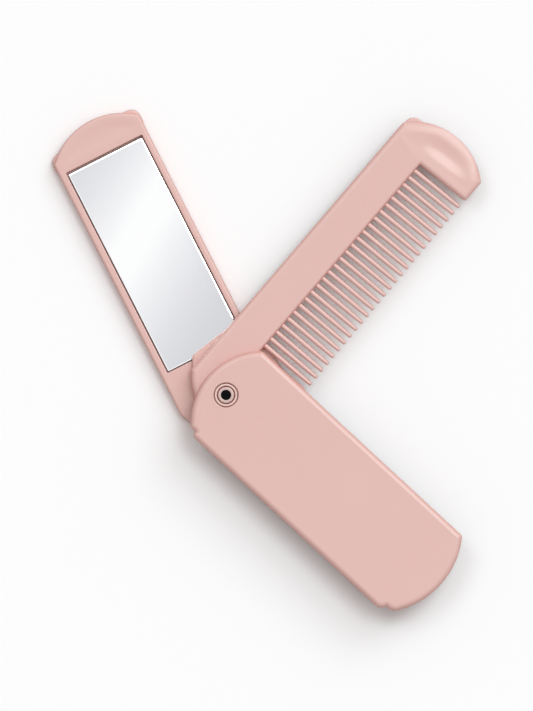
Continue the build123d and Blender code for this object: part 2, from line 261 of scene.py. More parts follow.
def pink_moulded_abs():
    """ABS from a fine spark-eroded mould: an even powdery pink whose satin skin gives broad soft highlights,
    with a faint cloudiness where the melt flowed. Its steep sides are painted a deeper red: painted shade
    for light that comes through the thin plastic and bounces between its parts."""
    cloud_size = 26 * MM
    grain_size = 0.35 * MM  # A real spark texture is about 0.05 mm, too fine to show
    grain_depth = 0.0035 * MM
    material, tree = new_material("pink_moulded_abs")
    place = add_node(tree, "ShaderNodeTexCoord").outputs["Object"]
    _, tint = soft_patches(tree, place, cloud_size, 2.0, "#D9AFA7", "#DDB4AC")
    grain = add_node(tree, "ShaderNodeTexNoise", inputs={
        "Vector": place, "Scale": 1 / grain_size, "Detail": 1.0})
    facing = add_node(tree, "ShaderNodeNewGeometry").outputs["Normal"]
    upward = add_node(tree, "ShaderNodeSeparateXYZ", inputs={"Vector": facing}).outputs["Z"]
    level_share = add_node(tree, "ShaderNodeMath", {"operation": "ABSOLUTE"}, {0: upward}).outputs[0]
    # Steep sides fade to a deeper red: painted shade for light through and between the thin plastic parts.
    flat = add_node(tree, "ShaderNodeMapRange", inputs={
        "Value": level_share, "From Min": 0.05, "From Max": 0.8})
    colour = add_node(tree, "ShaderNodeMix", {"data_type": "RGBA"}, {
        "Factor": flat.outputs["Result"], "A": srgb("#DA8B7C"), "B": tint})
    satin = add_node(tree, "ShaderNodeMapRange", inputs={
        "Value": grain.outputs["Fac"], "From Min": 0.3, "From Max": 0.7, "To Min": 0.30, "To Max": 0.36})
    skin = add_node(tree, "ShaderNodeBump", inputs={
        "Height": grain.outputs["Fac"], "Strength": 1.0, "Distance": grain_depth})
    shader = add_node(tree, "ShaderNodeBsdfPrincipled", inputs={
        "Base Color": colour.outputs["Result"], "Roughness": satin.outputs["Result"],
        "Normal": skin.outputs["Normal"], "IOR": 1.53, "Specular IOR Level": 0.65})
    return finish_material(material, shader)


def placing(turn):
    """Turns a leaf about the pivot by degrees, and its millimetres into metres."""
    return Matrix.Rotation(radians(turn), 4, "Z") @ Matrix.Scale(MM, 4)


def make_piece(name, mesh, material, body, nodes, turn=0.0, sharp=35.0):
    """Turns a finished mesh, in millimetres along a leaf, into a piece that rides on a body and stands for
    CAD nodes, if any are given. An edge that turns by more than sharp degrees stays sharp."""
    bmesh.ops.transform(mesh, verts=mesh.verts, matrix=placing(turn))
    data = bpy.data.meshes.new(name)
    mesh.to_mesh(data)
    mesh.free()
    data.shade_smooth()
    data.set_sharp_from_angle(angle=radians(sharp))
    data.materials.append(material)
    piece = bpy.data.objects.new(name, data)
    bpy.context.collection.objects.link(piece)
    evened = piece.modifiers.new("even_flats", "WEIGHTED_NORMAL")
    evened.mode = "FACE_AREA"
    evened.keep_sharp = True
    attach(piece, body)
    if nodes:
        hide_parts(*nodes)
    return piece


pink_abs = pink_moulded_abs()
shell_bottom, shell_top = level("back_shell")
mirror_end_x = mirror_reach - mirror_end_radius


def mirror_near(inset):
    """Arcs of the mirror leaf's end round the pivot, where its two mouldings are alike."""
    return near_end(
        mirror_heel, 0, mirror_heel_radius, -mirror_half_width, mirror_half_width, mirror_corners, inset)


def ear(side, inset):
    """Arcs of one ear and of the hollow nook where it runs into the round end."""
    across = side * mirror_half_width - mirror_end_rise
    ear_x = mirror_end_x + sqrt(mirror_end_radius ** 2 - across ** 2) + ear_standout
    size = ear_corner - inset
    corner_y = side * (mirror_half_width + ear_step - ear_corner)
    lean = degrees(asin((mirror_half_width - inset - abs(corner_y)) / size))
    nook_x = ear_x + ear_nook
    nook_y = side * sqrt((mirror_end_radius + ear_nook) ** 2 - (nook_x - mirror_end_x) ** 2)
    nook_angle = degrees(atan2(nook_y, nook_x - mirror_end_x))
    return [
        (ear_x - ear_length + ear_corner, corner_y, size, side * (180 - lean), side * 90),
        (ear_x - ear_corner, corner_y, size, side * 90, 0),
        (nook_x, mirror_end_rise + nook_y, ear_nook + inset, 180, 180 + nook_angle),
    ]


def shell_outline(inset):
    """Outline of the shell, with an ear on each side of its round end."""
    low_ear = ear(-1, inset)
    high_ear = ear(1, inset)
    low_angle, high_angle = low_ear[-1][-1] - 180, high_ear[-1][-1] - 180
    return [
        *mirror_near(inset),
        *low_ear,
        (mirror_end_x, mirror_end_rise, mirror_end_radius - inset, low_angle, high_angle),
        *backwards(high_ear),
    ]


window = rectangle(window_start, window_low, window_finish, window_high, window_corner)

shell = bmesh.new()
shell_profile = rounded(shell_bottom, shell_top, shell_round, shell_round)
shell_low, shell_high = wall(shell, shell_outline, shell_profile)
tray_low, tray_high = wall(shell, opening(window), [(0, tray_floor), (0, shell_top)])
tail_low, tail_high = wall(
    shell, opening(circle(tail_pocket_radius)), [(0, tail_pocket_floor), (0, shell_top)])
socket_rims = []
socket_half = lug_half_width + lug_clearance
socket_floor = shell_top - lug_length - lug_clearance
for x, y in lug_spots:
    socket = rectangle(x - socket_half, y - socket_half, x + socket_half, y + socket_half, lug_clearance)
    socket_low, socket_high = wall(shell, opening(socket), [(0, socket_floor), (0, shell_top)])
    fill(shell, socket_low)
    socket_rims.append(socket_high)
fill(shell, tray_low)
fill(shell, tail_low)
fill(shell, shell_low, up=False)
fill(shell, shell_high, [tray_high, tail_high, *socket_rims])
make_piece("shell_moulding", shell, pink_abs, "mirror_leaf", ["back_shell"], mirror_turn)


# Adhesive pad. Die-cut acrylic foam tape beds the glass in the tray, so it shows only in the fine gap
# round the glass.
def foam_tape():
    """Closed-cell acrylic foam: matt charcoal grey, with a fine pitted surface."""
    cell_size = 0.4 * MM
    material, tree = new_material("acrylic_foam_tape")
    place = add_node(tree, "ShaderNodeTexCoord").outputs["Object"]
    cells = add_node(tree, "ShaderNodeTexVoronoi", inputs={"Vector": place, "Scale": 1 / cell_size})
    tint = add_node(tree, "ShaderNodeMix", {"data_type": "RGBA"}, {
        "Factor": cells.outputs["Distance"], "A": srgb("#5A5654"), "B": srgb("#4A4745")})
    pits = add_node(tree, "ShaderNodeBump", inputs={
        "Height": cells.outputs["Distance"], "Strength": 0.5, "Distance": 0.05 * MM})
    shader = add_node(tree, "ShaderNodeBsdfPrincipled", inputs={
        "Base Color": tint.outputs["Result"], "Roughness": 0.9, "Normal": pits.outputs["Normal"]})
    return finish_material(material, shader)


def paint_node(node, material):
    """Gives a CAD node its finish and leaves its mesh alone."""
    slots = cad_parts[node].data.materials
    slots.clear()
    slots.append(material)


# The foam's charcoal grey also paints the shade in the fine gap round the glass.
paint_node("mirror_pad", foam_tape())


# Mirror glass. Float glass 1.8 mm thick, silvered and lacquered on the back, with a narrow flat bevel
# ground round the front that catches a bright line. It sits a little below the bezel.
glass_start, glass_finish = 13.82, 78.05
glass_side_low, glass_side_high = -12.05, 11.86
glass_corner = 0.3
bevel_width = 0.26
bevel_depth = 0.06


def silvered_glass():
    """Back-silvered float glass: a clean cool reflection, with the faintest ripple of drawn glass. Its sawn
    edges and lacquered back are dull and dark, which draws a fine dark line round the mirror."""
    ripple_size = 30 * MM
    material, tree = new_material("silvered_float_glass")
    place = add_node(tree, "ShaderNodeTexCoord").outputs["Object"]
    ripple, tint = soft_patches(tree, place, ripple_size, 0.0, "#FBFCFD", "#FEFEFE")
    wave = add_node(tree, "ShaderNodeBump", inputs={
        "Height": ripple, "Strength": 1.0, "Distance": 0.004 * MM})
    facing = add_node(tree, "ShaderNodeNewGeometry").outputs["True Normal"]
    upward = add_node(tree, "ShaderNodeSeparateXYZ", inputs={"Vector": facing}).outputs["Z"]
    polished = add_node(tree, "ShaderNodeMath", {"operation": "GREATER_THAN"}, {
        0: upward, 1: 0.3}).outputs[0]
    colour = add_node(tree, "ShaderNodeMix", {"data_type": "RGBA"}, {
        "Factor": polished, "A": srgb("#2B302D"), "B": tint})
    gloss = add_node(tree, "ShaderNodeMapRange", inputs={
        "Value": polished, "To Min": 0.6, "To Max": 0.02})
    shader = add_node(tree, "ShaderNodeBsdfPrincipled", inputs={
        "Base Color": colour.outputs["Result"], "Metallic": polished, "Roughness": gloss.outputs["Result"],
        "Normal": wave.outputs["Normal"]})
    return finish_material(material, shader)


def closed_form(outline, profile, bores=()):
    """Mesh of a plain closed piece. A bore through it is an outline and a profile too."""
    mesh = bmesh.new()
    low, high = wall(mesh, outline, profile)
    bore_rims = [wall(mesh, bore_line, bore_profile) for bore_line, bore_profile in bores]
    fill(mesh, low, [low_rim for low_rim, _ in bore_rims], up=False)
    fill(mesh, high, [high_rim for _, high_rim in bore_rims])
    return mesh


glass_bottom, glass_top = level("mirror_glass")
glass_outline = rectangle(glass_start, glass_side_low, glass_finish, glass_side_high, glass_corner)
glass = closed_form(glass_outline, [
    (0, glass_bottom), (0, glass_top - bevel_depth), (bevel_width, glass_top)])
make_piece("glass_plate", glass, silvered_glass(), "mirror_leaf", ["mirror_glass"],
           mirror_turn, sharp=5.0)


# Mirror frame. The bezel is a flat ABS moulding with a softly rounded rim, and a shallow hollow for the
# thumb near its round end. Four lugs underneath sit in the shell's sockets.
bezel_round = 0.78
window_edge_round = 0.4
bush_clearance_radius = 2.65
bezel_dish_depth = 0.14
bezel_dish_start = 80.5
bezel_dish_rim_margin = 1.3
bezel_dish_side_margin = 1.2
bezel_dish_start_fade = 3.0
bezel_dish_rim_fade = 3.0
bezel_dish_side_fade = 5.0


def ease(value):
    """Runs smoothly from 0 to 1 as the value does, and is flat beyond."""
    value = min(max(value, 0.0), 1.0)
    return value * value * (3 - 2 * value)


def crescent(reach, rise, radius, start, rim, low, high, spacing=0.45):
    """Points spread over the crescent between a leaf's round end and the line x = start."""
    points = []
    for row in range(1, ceil((reach - start) / spacing)):
        row_radius = radius - rim - (row - 1) * spacing
        count = ceil(pi * row_radius / spacing)
        for step in range(count):
            angle = -pi / 2 + pi * step / count
            x = reach - radius + row_radius * cos(angle)
            y = rise + row_radius * sin(angle)
            if x > start and low < y < high:
                points.append((x, y))
    return points


def bezel_dish(x, y):
    """Depth of the bezel's thumb hollow, which fades out on all sides."""
    from_centre = sqrt((x - mirror_end_x) ** 2 + (y - mirror_end_rise) ** 2)
    to_rim = mirror_end_radius - bezel_dish_rim_margin - from_centre
    to_side = mirror_half_width - abs(y)
    start_share = ease((x - bezel_dish_start) / bezel_dish_start_fade)
    return (bezel_dish_depth * ease(to_rim / bezel_dish_rim_fade) * start_share
            * ease(to_side / bezel_dish_side_fade))


def bezel_outline(inset):
    """Outline of the bezel, a leaf with two round ends."""
    return [
        *mirror_near(inset),
        *far_end(mirror_reach, mirror_end_rise, mirror_end_radius, -mirror_half_width, mirror_half_width,
                 mirror_corners, inset),
    ]


frame_bottom = shell_top
frame_top = level("mirror_frame")[1]
bezel = bmesh.new()
bezel_low, bezel_high = wall(bezel, bezel_outline, rounded(frame_bottom, frame_top, 0, bezel_round))
rim_low, rim_high = wall(bezel, opening(window), rounded(frame_bottom, frame_top, 0, window_edge_round))
bore = opening(circle(bush_clearance_radius))
bore_low, bore_high = wall(bezel, bore, [(0, frame_bottom), (0, frame_top)])
lug_roots = []
for x, y in lug_spots:
    lug = rectangle(
        x - lug_half_width, y - lug_half_width, x + lug_half_width, y + lug_half_width, lug_corner)
    lug_low, lug_high = wall(bezel, lug, [(0, frame_bottom - lug_length), (0, frame_bottom)])
    fill(bezel, lug_low, up=False)
    lug_roots.append(lug_high)
fill(bezel, bezel_low, [rim_low, bore_low, *lug_roots], up=False)
bezel_dish_points = crescent(
    mirror_reach, mirror_end_rise, mirror_end_radius, bezel_dish_start, bezel_dish_rim_margin,
    bezel_dish_side_margin - mirror_half_width, mirror_half_width - bezel_dish_side_margin)
fill(bezel, bezel_high, [rim_high, bore_high], extra_points=bezel_dish_points)
press(bezel, bezel_dish, frame_bottom, frame_top)
make_piece("bezel_moulding", bezel, pink_abs, "mirror_leaf", ["mirror_frame"], mirror_turn)


# Washers and disc spring. Nylon slip washers part the leaves, a steel washer takes the rivet's tail, and
# a disc spring under the collar gives the leaves their friction. All are stampings, closed in by the stack.
def stamped_nylon():
    """Natural nylon: milky and waxy, with faint die marks."""
    mark_size = 0.6 * MM
    material, tree = new_material("natural_nylon")
    place = add_node(tree, "ShaderNodeTexCoord").outputs["Object"]
    _, tint = soft_patches(tree, place, mark_size, 2.0, "#E9E6DC", "#F2F0E8")
    shader = add_node(tree, "ShaderNodeBsdfPrincipled", inputs={
        "Base Color": tint, "Roughness": 0.45, "IOR": 1.53})
    return finish_material(material, shader)


def spring_steel(name, colour):
    """Rolled spring steel: a directional brushed gleam, grey as rolled or brown where it was tempered. The
    brown also paints the red-brown shade of the groove it lies in.
    """
    line_pitch = 0.12 * MM
    material, tree = new_material(name)
    place = add_node(tree, "ShaderNodeTexCoord").outputs["Object"]
    drawn_out = add_node(tree, "ShaderNodeMapping", inputs={"Vector": place, "Scale": (0.05, 1.0, 1.0)})
    lines = add_node(tree, "ShaderNodeTexNoise", inputs={
        "Vector": drawn_out.outputs["Vector"], "Scale": 1 / line_pitch, "Detail": 1.0})
    gleam = add_node(tree, "ShaderNodeMapRange", inputs={
        "Value": lines.outputs["Fac"], "To Min": 0.25, "To Max": 0.45})
    shader = add_node(tree, "ShaderNodeBsdfPrincipled", inputs={
        "Base Color": srgb(colour), "Metallic": 1.0, "Roughness": gleam.outputs["Result"]})
    return finish_material(material, shader)


nylon = stamped_nylon()
for washer in ("slip_washer_lower", "slip_washer_middle", "slip_washer_upper"):
    paint_node(washer, nylon)
paint_node("rivet_washer", spring_steel("rolled_spring_steel", "#B9B8B6"))
# The brown temper colour also paints the red-brown shade of the groove round the pivot.
paint_node("spring_washer", spring_steel("brown_tempered_steel_and_groove_shade", "#B4543C"))


# Spacer plate. A short ABS plate, round at both ends, that lifts the comb clear of the mirror leaf. Its
# corner shows over the glass, and its far end under the first teeth.
spacer_turn = 80.55
spacer_heel = 6.7
spacer_heel_radius = 22.0
spacer_reach = 18.1
spacer_end_radius = 21.3
spacer_half_width = 15.2
spacer_corners = (1.7, 1.7)
spacer_round = 0.95
spacer_low_round = 0.2


def spacer_outline(inset):
    """Outline of the spacer plate, a short leaf with two round ends."""
    sides = (-spacer_half_width, spacer_half_width, spacer_corners, inset)
    return [
        *near_end(spacer_heel, 0, spacer_heel_radius, *sides),
        *far_end(spacer_reach, 0, spacer_end_radius, *sides),
    ]


spacer_bottom, spacer_top = level("spacer_plate")
spacer = closed_form(
    spacer_outline, rounded(spacer_bottom, spacer_top, spacer_low_round, spacer_round),
    [(bore, [(0, spacer_bottom), (0, spacer_top)])])
make_piece("spacer_moulding", spacer, pink_abs, "spacer", ["spacer_plate"], spacer_turn)


# Comb. One ABS moulding: a flat spine, a wide heel round the pivot, and an end guard with a thumb scoop.
# A thin nail tab stands out past the spine's far corner, to open the fan with.
comb_turn = 92.2
comb_heel = 8.3
comb_heel_radius = 17.3
comb_heel_rise = -1.7
heel_side = 16.45
heel_edge = -16.9
spine_edge = 12.45
root_line = 0.65
tooth_count = 27
tooth_pitch = 2.6
heel_gap = 1.8
guard_gap = 1.99
guard_lean = 1.7
guard_edge = -16.3
comb_reach = 101.0
comb_end_radius = 19.9
comb_end_rise = -2.55
comb_corner = 1.0
comb_nook = 0.15
comb_round = 1.45
root_round_share = 0.62
comb_low_round = 0.5
tab_setback = 3.1
tab_drop = 0.35
tab_start = 1.0
tab_width = 8.3
tab_corner = 3.0
tab_thickness = 1.7
tab_round = 0.55
tab_low_round = 0.3
tab_lift = 0.05
scoop_depth = 0.64
scoop_start = 91.6
scoop_fall = 3.6
scoop_slant = 0.055
scoop_rise_start = 95.8
scoop_rise_length = 3.2
scoop_rise = 0.16
scoop_middle = -4.0
scoop_half_length = 10.5
scoop_fade = 8.5
guard_start = 90.3
guard_fall = 0.2
rim_fall = 0.35
rim_width = 3.2
rim_start_fade = 3.0
scoop_rim_margin = 0.15
scoop_side_margin = 0.3
first_tooth = heel_side + heel_gap
last_tooth = first_tooth + (tooth_count - 1) * tooth_pitch
guard_side = last_tooth + guard_gap


def scoop(x, y):
    """Depth of the thumb scoop. The whole guard falls gently, a short step down runs across it, and from
    there it rises slowly towards the round end, whose rim falls away softly all along."""
    fade = ease((scoop_half_length - abs(y - scoop_middle)) / scoop_fade)
    along = x + scoop_slant * (y - scoop_middle)
    fall = scoop_depth * ease((along - scoop_start) / scoop_fall)
    to_rim = comb_end_radius - sqrt((x - comb_reach + comb_end_radius) ** 2 + (y - comb_end_rise) ** 2)
    rim = rim_fall * ease(1 - to_rim / rim_width) * ease((x - guard_start) / rim_start_fade)
    gentle = guard_fall * min(max((x - guard_side) / (scoop_start - guard_side), 0.0), 1.0)
    return gentle + rim + fade * (fall - scoop_rise * ease((along - scoop_rise_start) / scoop_rise_length))


def guard_line(distance, y):
    """Place along the comb, at that height across it, this far into the guard from its leaning side."""
    lean = radians(guard_lean)
    return guard_side + (distance - sin(lean) * (y - root_line)) / cos(lean)


def comb_outline(inset):
    """Outline of the comb without its teeth, with a small nook at each end of their row."""
    nook = comb_nook + inset * root_round_share
    nook_y = root_line - comb_nook
    size = max(comb_corner - inset, SHARP)
    corner_y = guard_edge + inset + size
    corners = (comb_corner, comb_corner)
    return [
        *near_end(comb_heel, comb_heel_rise, comb_heel_radius, heel_edge, spine_edge, corners, inset),
        corner(heel_side, heel_edge, comb_corner, -90, inset),
        (heel_side + nook - inset, nook_y, nook, 180, 90),
        (guard_line(inset - nook, nook_y), nook_y, nook, 90, guard_lean),
        (guard_line(inset + size, corner_y), corner_y, size, 180 + guard_lean, 270),
        *far_end(comb_reach, comb_end_rise, comb_end_radius, guard_edge, spine_edge, corners, inset),
    ]


comb_bottom, comb_top = level("comb")
comb = bmesh.new()
comb_low, comb_high = wall(comb, comb_outline, rounded(comb_bottom, comb_top, comb_low_round, comb_round))
bore_low, bore_high = wall(comb, bore, [(0, comb_bottom), (0, comb_top)])
scoop_points = crescent(
    comb_reach, comb_end_rise, comb_end_radius, guard_start, comb_round + scoop_rim_margin,
    guard_edge + comb_round + scoop_side_margin, spine_edge - comb_round - scoop_side_margin)
fill(comb, comb_low, [bore_low], up=False)
fill(comb, comb_high, [bore_high], extra_points=scoop_points)
press(comb, scoop, (comb_bottom + comb_top) / 2, comb_top)
tab_edge = spine_edge - tab_drop
tab = rectangle(
    guard_side + tab_start, tab_edge - tab_width, comb_reach - tab_setback, tab_edge, tab_corner)
tab_low, tab_high = wall(
    comb, tab, rounded(comb_bottom + tab_lift, comb_bottom + tab_thickness, tab_low_round, tab_round))
fill(comb, tab_low, up=False)
fill(comb, tab_high)
make_piece("comb_moulding", comb, pink_abs, "comb", ["comb"], comb_turn)


# Comb teeth. Round pins moulded in one with the spine, a little thicker at the root, with smooth
# half-round tips that part the hair without scratching. The tips draw in slightly towards the guard.
tooth_root_radius = 0.7
tooth_tip_radius = 0.55
tooth_fullness = 4.5
tooth_sink = 0.9
tooth_ring_count = 22
tooth_ring_crowding = 2.6
tooth_sides = 14
tip_flat = 0.004
near_lean, far_lean = 0.15, 1.4
near_tip, far_tip = -17.0, -16.15
near_tip_shift, far_tip_shift = 0.23, 0.13


def new_geometry_tree(name, inputs):
    """A geometry tree with those named inputs, its input node and the node that ends it."""
    tree = bpy.data.node_groups.new(name, "GeometryNodeTree")
    for input_name, kind in inputs.items():
        tree.interface.new_socket(name=input_name, in_out="INPUT", socket_type=kind)
    tree.interface.new_socket(name="Geometry", in_out="OUTPUT", socket_type="NodeSocketGeometry")
    return tree, add_node(tree, "NodeGroupInput").outputs, add_node(tree, "NodeGroupOutput")


def grow(name, tree, values):
    """Runs a geometry tree with those values and returns what it makes as a plain mesh."""
    host = bpy.data.objects.new(name, bpy.data.meshes.new(name))
    bpy.context.collection.objects.link(host)
    modifier = host.modifiers.new(name, "NODES")
    modifier.node_group = tree
    for input_name, value in values.items():
        modifier[tree.interface.items_tree[input_name].identifier] = value
    evaluated = host.evaluated_get(bpy.context.evaluated_depsgraph_get())
    data = bpy.data.meshes.new_from_object(evaluated)
    bpy.data.objects.remove(host)
    grown = bmesh.new()
    grown.from_mesh(data)
    bpy.data.meshes.remove(data)
    return grown


tooth_tree, sizes, row = new_geometry_tree("comb_tooth_row", {
    "Tooth Count": "NodeSocketInt",
    "Tooth Pitch": "NodeSocketFloat",
    "Root Radius": "NodeSocketFloat",
    "Tip Radius": "NodeSocketFloat",
    "Fullness": "NodeSocketFloat",
    "First Length": "NodeSocketFloat",
    "Last Length": "NodeSocketFloat",
    "First Lean": "NodeSocketFloat",
    "Last Lean": "NodeSocketFloat",
    "Finish": "NodeSocketMaterial",
})

# One tooth: its rings crowd towards the tip, where the radius follows a half circle
tooth_axis = add_node(tooth_tree, "GeometryNodeCurvePrimitiveLine", inputs={"End": (0, -1, 0)})
tooth_rings = add_node(tooth_tree, "GeometryNodeResampleCurve", inputs={
    "Curve": tooth_axis.outputs["Curve"], "Count": tooth_ring_count})
ring_number = add_node(tooth_tree, "GeometryNodeInputIndex").outputs["Index"]
ring_left = add_node(tooth_tree, "ShaderNodeMapRange", inputs={
    "Value": ring_number, "From Max": tooth_ring_count - 1, "To Min": 1.0, "To Max": 0.0})
length_left = add_node(tooth_tree, "ShaderNodeMath", {"operation": "POWER"}, {
    0: ring_left.outputs["Result"], 1: tooth_ring_crowding}).outputs[0]
distance_left = add_node(tooth_tree, "ShaderNodeMath", {"operation": "MULTIPLY"}, {
    0: length_left, 1: sizes["First Length"]}).outputs[0]
ring_y = add_node(tooth_tree, "ShaderNodeMath", {"operation": "SUBTRACT"}, {
    0: distance_left, 1: sizes["First Length"]}).outputs[0]
ring_place = add_node(tooth_tree, "ShaderNodeCombineXYZ", inputs={"Y": ring_y})
placed_rings = add_node(tooth_tree, "GeometryNodeSetPosition", inputs={
    "Geometry": tooth_rings.outputs["Curve"], "Position": ring_place.outputs["Vector"]})

length_done = add_node(tooth_tree, "ShaderNodeMath", {"operation": "SUBTRACT"}, {
    0: 1.0, 1: length_left}).outputs[0]
slimness = add_node(tooth_tree, "ShaderNodeMath", {"operation": "POWER"}, {
    0: length_done, 1: sizes["Fullness"]}).outputs[0]
tapered = add_node(tooth_tree, "ShaderNodeMapRange", inputs={
    "Value": slimness, "To Min": sizes["Root Radius"], "To Max": sizes["Tip Radius"]}).outputs["Result"]
into_tip = add_node(tooth_tree, "ShaderNodeMapRange", inputs={
    "Value": distance_left, "From Max": sizes["Tip Radius"], "To Min": 1.0, "To Max": 0.0}).outputs["Result"]
tip_square = add_node(tooth_tree, "ShaderNodeMath", {"operation": "MULTIPLY"}, {
    0: into_tip, 1: into_tip}).outputs[0]
round_square = add_node(tooth_tree, "ShaderNodeMath", {"operation": "SUBTRACT"}, {
    0: 1.0, 1: tip_square}).outputs[0]
blunt_square = add_node(tooth_tree, "ShaderNodeMath", {"operation": "MAXIMUM"}, {
    0: round_square, 1: tip_flat}).outputs[0]
half_round = add_node(tooth_tree, "ShaderNodeMath", {"operation": "SQRT"}, {0: blunt_square}).outputs[0]
ring_radius = add_node(tooth_tree, "ShaderNodeMath", {"operation": "MULTIPLY"}, {
    0: tapered, 1: half_round}).outputs[0]
tooth_section = add_node(tooth_tree, "GeometryNodeCurvePrimitiveCircle", inputs={
    "Resolution": tooth_sides, "Radius": 1.0})
tooth_mesh = add_node(tooth_tree, "GeometryNodeCurveToMesh", inputs={
    "Curve": placed_rings.outputs["Geometry"], "Profile Curve": tooth_section.outputs["Curve"],
    "Scale": ring_radius, "Fill Caps": True})

# The row: one tooth on each point of a line, stretched to its own length and leaning by its own angle
tooth_step = add_node(tooth_tree, "ShaderNodeCombineXYZ", inputs={"X": sizes["Tooth Pitch"]})
tooth_line = add_node(tooth_tree, "GeometryNodeMeshLine", inputs={
    "Count": sizes["Tooth Count"], "Offset": tooth_step.outputs["Vector"]})
tooth_number = add_node(tooth_tree, "GeometryNodeInputIndex").outputs["Index"]
last_number = add_node(tooth_tree, "ShaderNodeMath", {"operation": "SUBTRACT"}, {
    0: sizes["Tooth Count"], 1: 1.0}).outputs[0]
own_length, own_lean = [add_node(tooth_tree, "ShaderNodeMapRange", inputs={
    "Value": tooth_number, "From Max": last_number,
    "To Min": sizes["First " + what], "To Max": sizes["Last " + what]}).outputs["Result"]
    for what in ("Length", "Lean")]
length_share = add_node(tooth_tree, "ShaderNodeMath", {"operation": "DIVIDE"}, {
    0: own_length, 1: sizes["First Length"]}).outputs[0]
stretch = add_node(tooth_tree, "ShaderNodeCombineXYZ", inputs={"X": 1.0, "Y": length_share, "Z": 1.0})
lean = add_node(tooth_tree, "ShaderNodeCombineXYZ", inputs={"Z": own_lean})
tooth_copies = add_node(tooth_tree, "GeometryNodeInstanceOnPoints", inputs={
    "Points": tooth_line.outputs["Mesh"], "Instance": tooth_mesh.outputs["Mesh"],
    "Rotation": lean.outputs["Vector"], "Scale": stretch.outputs["Vector"]})
real_teeth = add_node(tooth_tree, "GeometryNodeRealizeInstances", inputs={
    "Geometry": tooth_copies.outputs["Instances"]})
finished_teeth = add_node(tooth_tree, "GeometryNodeSetMaterial", inputs={
    "Geometry": real_teeth.outputs["Geometry"], "Material": sizes["Finish"]})
tooth_tree.links.new(finished_teeth.outputs["Geometry"], row.inputs["Geometry"])

root_y = root_line + tooth_sink
near_root = first_tooth + near_tip_shift - tan(radians(near_lean)) * (root_y - near_tip)
far_root = last_tooth + far_tip_shift - tan(radians(far_lean)) * (root_y - far_tip)
teeth = grow("comb_teeth", tooth_tree, {
    "Tooth Count": tooth_count,
    "Tooth Pitch": (far_root - near_root) / (tooth_count - 1),
    "Root Radius": tooth_root_radius,
    "Tip Radius": tooth_tip_radius,
    "Fullness": tooth_fullness,
    "First Length": root_y - near_tip,
    "Last Length": root_y - far_tip,
    "First Lean": radians(near_lean),
    "Last Lean": radians(far_lean),
    "Finish": pink_abs,
})
first_root = Vector((near_root, root_y, (comb_bottom + comb_top) / 2))
bmesh.ops.translate(teeth, verts=teeth.verts, vec=first_root)
bmesh.ops.recalc_face_normals(teeth, faces=teeth.faces)
make_piece("comb_teeth", teeth, pink_abs, "comb", [], comb_turn, sharp=60.0)


# Front cover. The thick top leaf that the closed fan is held by, moulded in ABS and cored from below. A
# grip strip steps out of one long edge, and a counterbore round the pivot takes the collar's flange.
cover_heel = 7.55
cover_heel_radius = 21.0
cover_heel_rise = 1.2
cover_reach = 83.6
cover_end_radius = 25.0
cover_end_rise = 1.6
cover_high_edge = 16.65
cover_low_edge = -13.6
cover_heel_low_edge = -14.0
cover_heel_corners = (1.3, 1.2)
cover_end_corners = (3.2, 1.3)
cover_round = 1.6
cover_low_round = 0.4
grip_start = 0.67
grip_finish = 76.35
grip_edge = -15.5
grip_corner = 1.37
grip_end_corner = 2.65
grip_nook = 0.1
cover_wall = 1.8
cover_skin = 1.5
core_corner = 0.5
counterbore_radius = 3.62
counterbore_depth = 1.52
counterbore_round = 0.22
bore_land = 0.01
boss_radius = 6.5
boss_set_back = 0.05
web_sink = 0.2


def nook_between(first_arc, second_arc, size, inset):
    """Two round corners of an outline, shortened to where a small hollow nook joins them, and the nook."""
    x, y, radius, first, _ = first_arc
    other_x, other_y, other_radius, _, last = second_arc
    reach, other_reach = radius + size + inset, other_radius + size + inset
    between = Vector((other_x - x, other_y - y))
    along = (reach ** 2 - other_reach ** 2 + between.length_squared) / (2 * between.length)
    outward = Vector((between.y, -between.x)).normalized() * sqrt(reach ** 2 - along ** 2)
    middle = Vector((x, y)) + between.normalized() * along + outward
    leave = degrees(atan2(middle.y - y, middle.x - x))
    land = degrees(atan2(middle.y - other_y, middle.x - other_x))
    return [
        (x, y, radius, first, leave),
        (middle.x, middle.y, size + inset, leave + 180, land + 180),
        (other_x, other_y, other_radius, land, last),
    ]


def cover_outline(inset):
    """Outline of the cover, whose low edge steps out to the grip strip."""
    low_corner, *rest = far_end(
        cover_reach, cover_end_rise, cover_end_radius, cover_low_edge, cover_high_edge, cover_end_corners,
        inset)
    return [
        *near_end(cover_heel, cover_heel_rise, cover_heel_radius, cover_heel_low_edge, cover_high_edge,
                  cover_heel_corners, inset),
        (grip_start - grip_nook, cover_heel_low_edge - grip_nook, grip_nook + inset, 90, 0),
        corner(grip_start, grip_edge, grip_corner, 180, inset),
        *nook_between(
            corner(grip_finish, grip_edge, grip_end_corner, -90, inset), low_corner, grip_nook, inset),
        *rest,
    ]


def core_outline(inset):
    """Outline of the hollow under the cover's skin, one wall inside the cover without its grip strip."""
    corners = (cover_wall + core_corner, cover_wall + core_corner)
    sides = (cover_low_edge, cover_high_edge, corners, inset + cover_wall)
    return [
        *near_end(cover_heel, cover_heel_rise, cover_heel_radius, *sides),
        *far_end(cover_reach, cover_end_rise, cover_end_radius, *sides),
    ]


